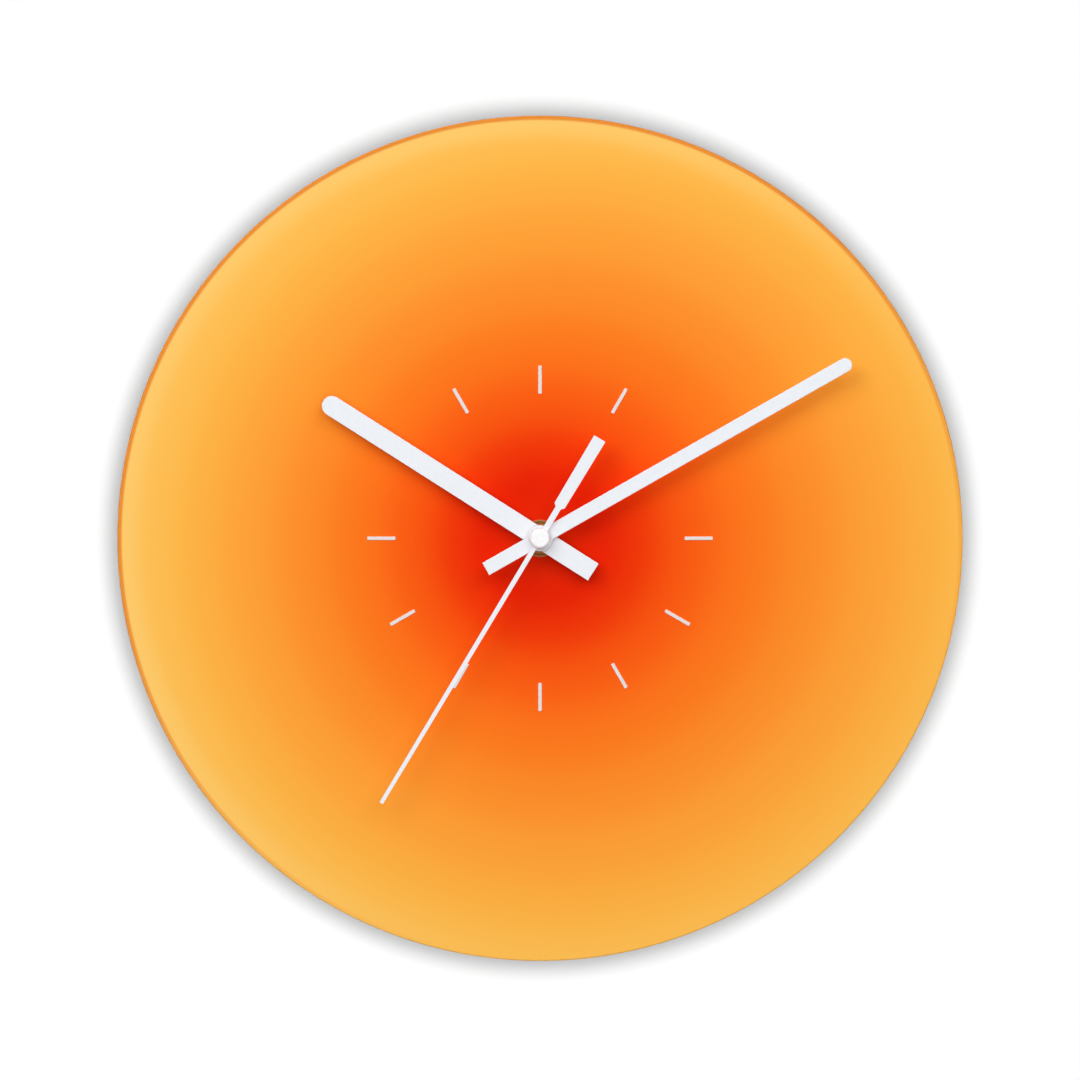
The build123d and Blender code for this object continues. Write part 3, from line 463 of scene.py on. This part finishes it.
def matt_wall_paint():
    """Matt white wall paint: plain and even, so that it holds the disc's soft shadow, with a painted glow
    behind the disc.

    It thins out to the white room round it, and is clear from behind so that the movement can be seen.
    """
    fade_start, fade_end = 0.24, 0.46
    material = bpy.data.materials.new("matt_white_wall_paint")
    tree = bare_tree(material)
    place = add(tree, "ShaderNodeTexCoord").outputs["Object"]
    away = add(tree, "ShaderNodeVectorMath", {0: place}, operation="LENGTH").outputs["Value"]
    thin = add(tree, "ShaderNodeMapRange", {
        "Value": away, "From Min": fade_start, "From Max": fade_end, "To Min": 1.0, "To Max": 0.0},
        interpolation_type="SMOOTHSTEP")
    rear = add(tree, "ShaderNodeNewGeometry").outputs["Backfacing"]
    front = add(tree, "ShaderNodeMath", {0: 1.0, 1: rear}, operation="SUBTRACT")
    shown = add(tree, "ShaderNodeMath", {0: thin.outputs[0], 1: front.outputs[0]}, operation="MULTIPLY")

    # Painted light: a glow on the wall behind the disc stands in for light thrown back by the disc's white
    # back. The disc hides it from the front.
    painted_glow_full, painted_glow_end = dial_radius - 5 * MM, dial_radius + 3 * MM
    painted_glow_level = 0.16
    painted_bounce_glow = add(tree, "ShaderNodeMapRange", {
        "Value": away, "From Min": painted_glow_full, "From Max": painted_glow_end,
        "To Min": painted_glow_level, "To Max": 0.0}, interpolation_type="SMOOTHSTEP")
    glow = add(tree, "ShaderNodeEmission", {"Strength": painted_bounce_glow.outputs[0]})
    matt = add(tree, "ShaderNodeBsdfDiffuse", {"Color": linear("#FAFAFA")})
    white = add(tree, "ShaderNodeAddShader", {0: matt.outputs[0], 1: glow.outputs[0]})
    clear = add(tree, "ShaderNodeBsdfTransparent")
    shell = add(tree, "ShaderNodeMixShader", {
        0: shown.outputs[0], 1: clear.outputs[0], 2: white.outputs[0]})
    add(tree, "ShaderNodeOutputMaterial", {"Surface": shell.outputs[0]})
    return material


# The wall, a hair behind the clock's back. It shades nothing, throws no light on the clock and isn't
# mirrored in it.
wall_size = 1.2
wall_gap = 0.2 * MM
wall_corners = ((-1, -1), (1, -1), (1, 1), (-1, 1))
wall = bpy.data.objects.new("wall", bpy.data.meshes.new("wall"))
wall.data.from_pydata(
    [(x * wall_size / 2, wall_gap, z * wall_size / 2) for x, z in wall_corners], [], [(0, 1, 2, 3)])
wall.data.materials.append(matt_wall_paint())
scene.collection.objects.link(wall)
wall.visible_shadow = False
wall.visible_diffuse = False
wall.visible_glossy = False


def white_room():
    """A white room, dim as a lamp but white to the eye and in reflections."""
    room_light = 0.1
    world = bpy.data.worlds.new("white_room")
    tree = bare_tree(world)
    ray = add(tree, "ShaderNodeLightPath").outputs
    passed_on = add(tree, "ShaderNodeMath", {
        0: ray["Is Glossy Ray"], 1: ray["Is Transmission Ray"]}, operation="MAXIMUM")
    looked_at = add(tree, "ShaderNodeMath", {
        0: ray["Is Camera Ray"], 1: passed_on.outputs[0]}, operation="MAXIMUM")
    strength = add(tree, "ShaderNodeMath", {
        0: looked_at.outputs[0], 1: 1 - room_light, 2: room_light}, operation="MULTIPLY_ADD")
    room = add(tree, "ShaderNodeBackground", {"Color": linear("#FFFFFF"), "Strength": strength.outputs[0]})
    add(tree, "ShaderNodeOutputWorld", {"Surface": room.outputs[0]})
    return world


scene.world = white_room()


def softbox(name, toward, distance, radius, level):
    """A round soft lamp in this direction from the clock.

    Alone it would light a white surface that faces it to this level, where 1 is white.
    """
    lamp = bpy.data.objects.new(name, bpy.data.lights.new(name, "AREA"))
    lamp.data.shape = "DISK"
    lamp.data.size = 2 * radius
    # The lamp fills this share of what such a surface sees, which gives its brightness and then its watts.
    filled = radius ** 2 / (radius ** 2 + distance ** 2)
    brightness = level / filled
    lamp.data.energy = brightness * math.pi * (math.pi * radius ** 2)
    way = Vector(toward).normalized()
    lamp.location = way * distance
    lamp.rotation_mode = "QUATERNION"
    lamp.rotation_quaternion = way.to_track_quat("Z", "Y")
    lamp.visible_camera = False
    scene.collection.objects.link(lamp)
    return lamp


def only(name, objects):
    """A collection for light linking that takes in these objects alone."""
    group = bpy.data.collections.new(name)
    for thing in objects:
        group.objects.link(thing)
    return group


def all_but(name, objects):
    """A collection for light linking that leaves these objects out."""
    group = only(name, objects)
    for entry in group.collection_objects:
        entry.light_linking.link_state = "EXCLUDE"
    return group


# Three softboxes straight ahead: one for the wall alone, wide enough for the disc's soft even shadow, one
# for the hands alone, and one for the rest of the clock, whose light the raised hands don't block.
raised_hands = [node[n] for n in ("minute_hand", "second_hand", "second_hand_cap")]
hands = raised_hands + [node["hour_hand"]]
ahead, ahead_distance = (0, -1, 0), 2.6
wall_box = softbox("wall_softbox", ahead, ahead_distance, radius=0.82, level=0.97)
front_box = softbox("front_softbox", ahead, ahead_distance, radius=1.05, level=0.36)
hand_box = softbox("hand_softbox", ahead, ahead_distance, radius=1.05, level=0.36)
wall_box.light_linking.receiver_collection = only("wall_alone", [wall])
front_box.light_linking.receiver_collection = all_but("front_softbox_skips_wall_and_hands", [wall] + hands)
front_box.light_linking.blocker_collection = all_but("raised_hands_pass_front_light", raised_hands)
hand_box.light_linking.receiver_collection = only("hands_alone", hands)
for lamp in (wall_box, front_box, hand_box):
    lamp.visible_glossy = False

# Two softboxes above throw the hands' shadows on the dial.
top_distance, top_radius = 3.4, 1.25
top_left = softbox("top_left_softbox", (-0.6, -1, 0.6), top_distance, top_radius, level=0.4)
top_right = softbox("top_right_softbox", (0.45, -1, 0.65), top_distance, top_radius, level=0.28)
for lamp in (top_left, top_right):
    lamp.light_linking.receiver_collection = all_but(lamp.name + "_skips_wall", [wall])

# Softboxes behind light the movement. None of their light bounces on to the wall, and only the low one is
# mirrored in metal.
rear_distance = 2.0
for name, toward, radius, level, mirrored in (
        ("rear_softbox_left", (-0.8, 1, 0.5), 1.5, 0.5, False),
        ("rear_softbox_right", (0.8, 1, 0.5), 1.5, 0.5, False),
        ("rear_softbox_low", (0, 0.4, -1), 0.8, 0.35, True)):
    rear_box = softbox(name, toward, rear_distance, radius, level)
    rear_box.data.cycles.max_bounces = 0
    rear_box.data.cycles.use_multiple_importance_sampling = False
    rear_box.visible_glossy = mirrored
